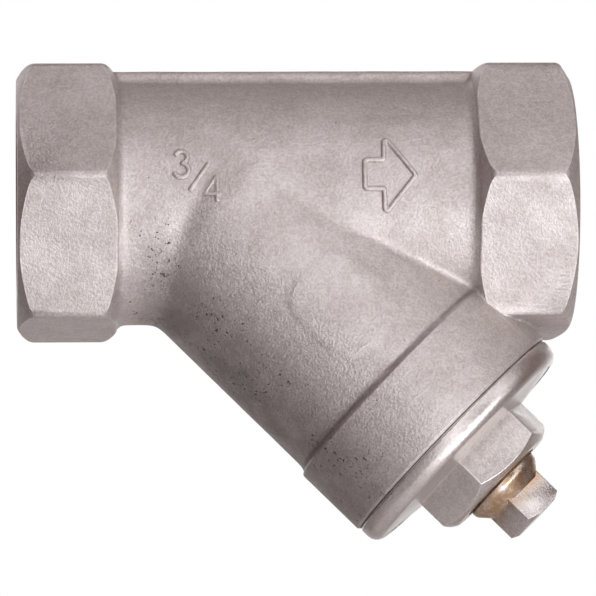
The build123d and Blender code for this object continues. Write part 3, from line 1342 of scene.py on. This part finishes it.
@dataclass
class Screen:
    """The screen: perforated tube, woven liner and two bands."""

    radius: float = 11.5
    sheet: float = 0.5
    holes_around: int = 30
    hole_rows: int = 16
    margin: float = 4.5
    web: float = 0.42
    hole_radius: float = 0.8
    liner_radius: float = 10.95
    liner_thickness: float = 0.25
    band_radius: float = 10.65
    band_thickness: float = 0.5
    band_height: float = 4.0
    band_round: float = 0.15

    def build(self, steel: Finish, cloth: Finish) -> list[Piece]:
        """Models the screen's pieces.

        Args:
            steel: Finish of the tube and the bands.
            cloth: Finish of the woven liner.

        Returns:
            The finished pieces.
        """
        tube = self.tube()
        finish_piece(tube, Place.LEG, "screen", "screen_tube", 40.0, finish=steel)
        radii = self.liner_radius - self.liner_thickness, self.liner_radius
        liner = washer("screen_liner_skin", radii, (SCREEN_START, SCREEN_END))
        self.lay_cloth(liner)
        finish_piece(liner, Place.LEG, "screen", "screen_liner", 40.0, finish=cloth)
        bands = [
            self.band("screen_top_band", SCREEN_START, steel),
            self.band("screen_bottom_band", SCREEN_END - self.band_height, steel),
        ]
        return [tube, liner, *bands]

    def band(self, node: str, low: float, steel: Finish) -> Piece:
        """One band that holds the liner, with rolled edges."""
        radii = self.band_radius - self.band_thickness, self.band_radius
        band = washer(node + "_skin", radii, (low, low + self.band_height), self.band_round)
        return finish_piece(band, Place.LEG, "screen", node, 40.0, finish=steel)

    def tube(self) -> Piece:
        """The perforated tube: a sheet with rows of round holes, rolled and given its thickness."""
        hold()
        around = 2 * math.pi * self.radius
        low, high = SCREEN_START + self.margin, SCREEN_END - self.margin
        columns, rows = self.holes_around, self.hole_rows
        bpy.ops.mesh.primitive_grid_add(x_subdivisions=columns, y_subdivisions=rows, size=1)
        tube = named("screen_tube_skin")
        edit(tube)
        bpy.ops.transform.resize(value=(around, high - low, 1), center_override=(0, 0, 0))
        bpy.ops.mesh.inset(thickness=self.web, use_individual=True, use_boundary=True)
        bpy.ops.mesh.subdivide(number_cuts=2)
        bpy.ops.object.mode_set(mode="OBJECT")
        self.open_holes(tube)
        self.add_margins(tube, low, high)
        for point in tube.data.vertices:
            angle = 2 * math.pi * (point.co.x / around + 0.5)
            height = point.co.y + (low + high) / 2
            point.co = (self.radius * math.cos(angle), self.radius * math.sin(angle), height)
        tidy_shell(tube, 0.001)
        apply_modifier(tube, "SOLIDIFY", thickness=self.sheet, offset=-1.0)
        return tube

    def open_holes(self, tube: Piece) -> None:
        """Draws each cell's inner outline into a circle, and deletes the faces within it."""
        pitch = 2 * math.pi * self.radius / self.holes_around
        rise = (SCREEN_END - SCREEN_START - 2 * self.margin) / self.hole_rows
        hold(tube)

        def offset(place: Vector) -> Vector:
            """Way to a place from the middle of its cell."""
            column = math.floor(place.x / pitch + self.holes_around / 2) + 0.5 - self.holes_around / 2
            row = math.floor(place.y / rise + self.hole_rows / 2) + 0.5 - self.hole_rows / 2
            return Vector((place.x - column * pitch, place.y - row * rise, 0))

        def reach(way: Vector) -> float:
            """How far out a place lies, 1 on the cell's inner outline."""
            return max(abs(way.x) / (pitch / 2 - self.web), abs(way.y) / (rise / 2 - self.web))

        for face in tube.data.polygons:
            face.select = reach(offset(face.center)) < 0.9
        for point in tube.data.vertices:
            way = offset(point.co)
            if 0.98 < reach(way) < 1.02:
                point.co += way.normalized() * self.hole_radius - way
        bpy.ops.object.mode_set(mode="EDIT")
        bpy.ops.mesh.delete(type="FACE")
        bpy.ops.object.mode_set(mode="OBJECT")

    def add_margins(self, tube: Piece, low: float, high: float) -> None:
        """Extrudes the plain margins at both ends of the flat sheet."""
        half = (high - low) / 2
        for side in (-1, 1):
            edit(tube, "DESELECT")
            hold(tube)
            for point in tube.data.vertices:
                point.select = abs(point.co.y - side * half) < 0.001
            for edge in tube.data.edges:
                edge.select = all(tube.data.vertices[index].select for index in edge.vertices)
            bpy.ops.object.mode_set(mode="EDIT")
            bpy.ops.mesh.extrude_edges_move(TRANSFORM_OT_translate={"value": (0, side * self.margin, 0)})
            bpy.ops.object.mode_set(mode="OBJECT")

    def lay_cloth(self, liner: Piece) -> None:
        """Gives the liner a map in millimetres round and along it, for its weave."""
        layer = liner.data.uv_layers.new(name="cloth")
        for face in liner.data.polygons:
            middle = math.atan2(face.center.y, face.center.x)
            for loop in face.loop_indices:
                place = liner.data.vertices[liner.data.loops[loop].vertex_index].co
                angle = math.atan2(place.y, place.x)
                angle += 2 * math.pi * round((middle - angle) / (2 * math.pi))
                layer.data[loop].uv = (angle * self.liner_radius, place.z)


# Finishes of this strainer

CAST_STEEL = CastSkin("cast_steel_skin")
MACHINED_STEEL = SteelFinish(
    "machined_steel", tone=rgb(0.64, 0.60, 0.58), shade=rgb(0.52, 0.48, 0.47), smooth=0.28, rough=0.42,
    grain_height=0.004, pits=0.0, wear=0.3,
)
CAP_STEEL = StainedSteel(
    "cap_steel_skin", tone=rgb(0.72, 0.675, 0.66), shade=rgb(0.63, 0.585, 0.57), smooth=0.28, rough=0.40,
    grain_height=0.05, pits=0.5, stain_station=58.6, stain_reach=1.3, stain_amount=0.6,
)
PLUG_STEEL = StainedSteel(
    "plug_steel_skin", smooth=0.22, rough=0.34, grain_height=0.03, pits=0.6, stain_station=60.0,
    stain_reach=3.6, stain_amount=0.92,
)
SCREEN_STEEL = SteelFinish(
    "screen_steel_skin", smooth=0.22, rough=0.34, grain_height=0.003, pits=0.0, wear=0.2
)
# The gasket is real, and its dark grey is partly painted shade: the colour stands in for the shadow in the
# recessed gap between collar and rim.
GASKET = PlainFinish("gasket_skin", rgb(0.24, 0.24, 0.27), rgb(0.15, 0.15, 0.17), 0.6, 0.2)
TAPE = PlainFinish("tape_skin", rgb(0.55, 0.42, 0.27), rgb(0.34, 0.22, 0.12), 0.55, 0.25)


@dataclass(frozen=True)
class WovenCloth:
    """Finish of the woven liner: plain weave of fine steel wire."""

    name: str = "woven_cloth"
    wire: Colour = rgb(0.60, 0.56, 0.54)
    gap: Colour = rgb(0.05, 0.045, 0.045)
    wire_pitch: float = 0.6
    wire_height: float = 0.12
    rough: float = 0.35

    def build(self) -> Finish:
        """Makes the material from the liner's own map."""
        material = bpy.data.materials.new(self.name)
        tools = Nodes.fresh(material)
        place = tools.add("UVMap", uv_map="cloth").outputs[0]
        parts = tools.add("SeparateXYZ", {0: place}).outputs
        turn = 2 * math.pi / self.wire_pitch
        around, along = (tools.math("SINE", tools.times(parts[axis], turn)) for axis in (0, 1))
        wire = tools.math("MAXIMUM", tools.math("ABSOLUTE", around), tools.math("ABSOLUTE", along))
        height = tools.math("ADD", tools.times(around, along, 0.5), wire)
        colour = tools.blend(tools.remap(wire, 0.35, 0.7), self.gap, self.wire)
        tools.surface(colour, self.rough, height, self.wire_height, 1.0)
        return material


# Camera, light and floor


@dataclass
class Viewpoint:
    """The camera, where the photograph was taken from."""

    target: tuple[float, float, float] = (40.561, 0.0, -13.948)
    distance: float = 811.55
    azimuth: float = 3.28
    rise: float = 10.44
    roll: float = -0.83
    lens: float = 339.2

    def build(self) -> Piece:
        """Makes the camera and gives it to the scene."""
        around, up = math.radians(self.azimuth), math.radians(self.rise)
        ahead = Vector((math.sin(around) * math.cos(up), math.cos(around) * math.cos(up), math.sin(up)))
        level = ahead.cross(Vector((0, 0, 1))).normalized()
        lift = level.cross(ahead)
        tilt = math.radians(self.roll)
        right = level * math.cos(tilt) + lift * math.sin(tilt)
        above = right.cross(ahead)
        turn = Matrix((right, above, -ahead)).transposed().to_4x4()
        data = bpy.data.cameras.new("photograph")
        data.lens = self.lens
        data.sensor_width = 36.0
        data.clip_start, data.clip_end = 0.05, 20.0
        camera = bpy.data.objects.new("photograph", data)
        bpy.context.scene.collection.objects.link(camera)
        place = (Vector(self.target) - ahead * self.distance) * MM
        camera.matrix_world = Matrix.Translation(place) @ turn
        bpy.context.scene.camera = camera
        return camera


@dataclass(frozen=True)
class Lamp:
    """One soft lamp that points at the strainer.

    Azimuth 0 is on the camera's side and 90 to the right, and rise is above the horizon, in degrees.
    Distance and size are in metres, and power in watts.
    """

    name: str
    azimuth: float
    rise: float
    power: float
    size: float = 0.35
    distance: float = 0.60
    colour: tuple[float, float, float] = (0.96, 0.985, 1.0)

    def build(self, target: Vector) -> Piece:
        """Makes the lamp, aimed at a point."""
        around, up = math.radians(self.azimuth), math.radians(self.rise)
        way = Vector((math.sin(around) * math.cos(up), -math.cos(around) * math.cos(up), math.sin(up)))
        data = bpy.data.lights.new(self.name, "AREA")
        data.shape, data.size, data.energy, data.color = "DISK", self.size, self.power, self.colour
        lamp = bpy.data.objects.new(self.name, data)
        bpy.context.scene.collection.objects.link(lamp)
        lamp.location = target + way * self.distance
        lamp.rotation_mode = "QUATERNION"
        lamp.rotation_quaternion = way.to_track_quat("Z", "Y")
        return lamp


LAMPS = (
    Lamp("front_low", 0.0, -40.0, 0.42),
    Lamp("front", 0.0, -8.0, 0.46),
    Lamp("front_high", 0.0, 30.0, 0.68),
    Lamp("right_low", 40.0, -35.0, 1.50),
    Lamp("right", 50.0, -5.0, 0.60),
    Lamp("right_high", 45.0, 30.0, 0.41),
    Lamp("top", 0.0, 80.0, 0.30),
    Lamp("back_left", -150.0, 35.0, 0.40, size=0.45),
    Lamp("back_right", 168.0, 15.0, 0.28, size=0.25),
)


@dataclass
class Studio:
    """Plain white studio: world, lamps and a pale floor that is darker on the left, in reflections only."""

    lamps: tuple[Lamp, ...] = LAMPS
    white: Colour = rgb(1.0, 1.0, 1.0)
    room: Colour = rgb(0.215, 0.165, 0.157)
    white_behind: Point = (0.55, 0.98)
    floor_tone: Colour = rgb(0.86, 0.86, 0.86)
    dark_tone: Colour = rgb(0.04, 0.03, 0.03)
    dark_from: float = -0.30
    dark_fully: float = -0.52
    dark_share: float = 0.75
    floor_height: float = -450.0
    floor_size: float = 6.0
    floor_glow: float = 0.55
    mirrored_glow: float = 0.25

    def build(self) -> None:
        """Makes the world, the lamps and the floor."""
        self.world()
        low, high = CAD_BOX
        for lamp in self.lamps:
            lamp.build((low + high) / 2)
        self.floor()
        bpy.context.scene.view_settings.view_transform = "Standard"

    def world(self) -> None:
        """White where the camera looks past the strainer, and a dimmer room in front of it."""
        world = bpy.data.worlds.new("studio")
        bpy.context.scene.world = world
        tools = Nodes.fresh(world)
        way = tools.add("SeparateXYZ", {0: tools.add("TexCoord").outputs["Generated"]}).outputs
        rays = tools.add("LightPath").outputs
        mirrored = tools.math("MAXIMUM", rays["Is Glossy Ray"], rays["Is Transmission Ray"])
        behind = tools.times(mirrored, tools.remap(way["Y"], *self.white_behind))
        colour = tools.blend(tools.math("MAXIMUM", rays["Is Camera Ray"], behind), self.room, self.white)
        tools.close(tools.add("Background", {"Color": colour, "Strength": 1.0}), "OutputWorld")

    def floor(self) -> None:
        """A plain pale floor, far below, that glows for the camera and is dim for reflections."""
        hold()
        bpy.ops.mesh.primitive_plane_add(size=self.floor_size, location=(0, 0, self.floor_height * MM))
        floor = named("floor")
        material = bpy.data.materials.new("floor")
        tools = Nodes.fresh(material)
        rays = tools.add("LightPath").outputs
        across = tools.add("SeparateXYZ", {0: tools.add("TexCoord").outputs["Object"]}).outputs["X"]
        left = tools.remap(across, self.dark_fully, self.dark_from, self.dark_share, 0.0)
        dark = tools.times(rays["Is Glossy Ray"], left)
        mirrored = tools.times(rays["Is Glossy Ray"], self.mirrored_glow, tools.math("SUBTRACT", 1.0, dark))
        seen = tools.math("MAXIMUM", rays["Is Camera Ray"], mirrored)
        inputs = {
            "Base Color": tools.blend(dark, self.floor_tone, self.dark_tone),
            "Roughness": 0.9,
            "Emission Color": self.white,
            "Emission Strength": tools.times(seen, self.floor_glow),
        }
        tools.close(tools.add("BsdfPrincipled", inputs))
        dress(floor, material)


def main() -> None:
    """Builds the strainer piece by piece, then the camera and the studio."""
    logging.basicConfig(level=logging.INFO, format="%(name)s: %(message)s")
    effects = Effects()
    cast, machined = CAST_STEEL.build(effects), MACHINED_STEEL.build(effects)
    body = Casting().build(cast, machined)
    Signs().build(cast, body)
    ScrewCap().build(CAP_STEEL.build(effects))
    Plug().build(PLUG_STEEL.build(effects))
    Seals().build(GASKET.build(effects), TAPE.build(effects))
    Screen().build(SCREEN_STEEL.build(effects), WovenCloth().build())
    Viewpoint().build()
    Studio().build()
    hold()


if __name__ == "__main__":
    main()
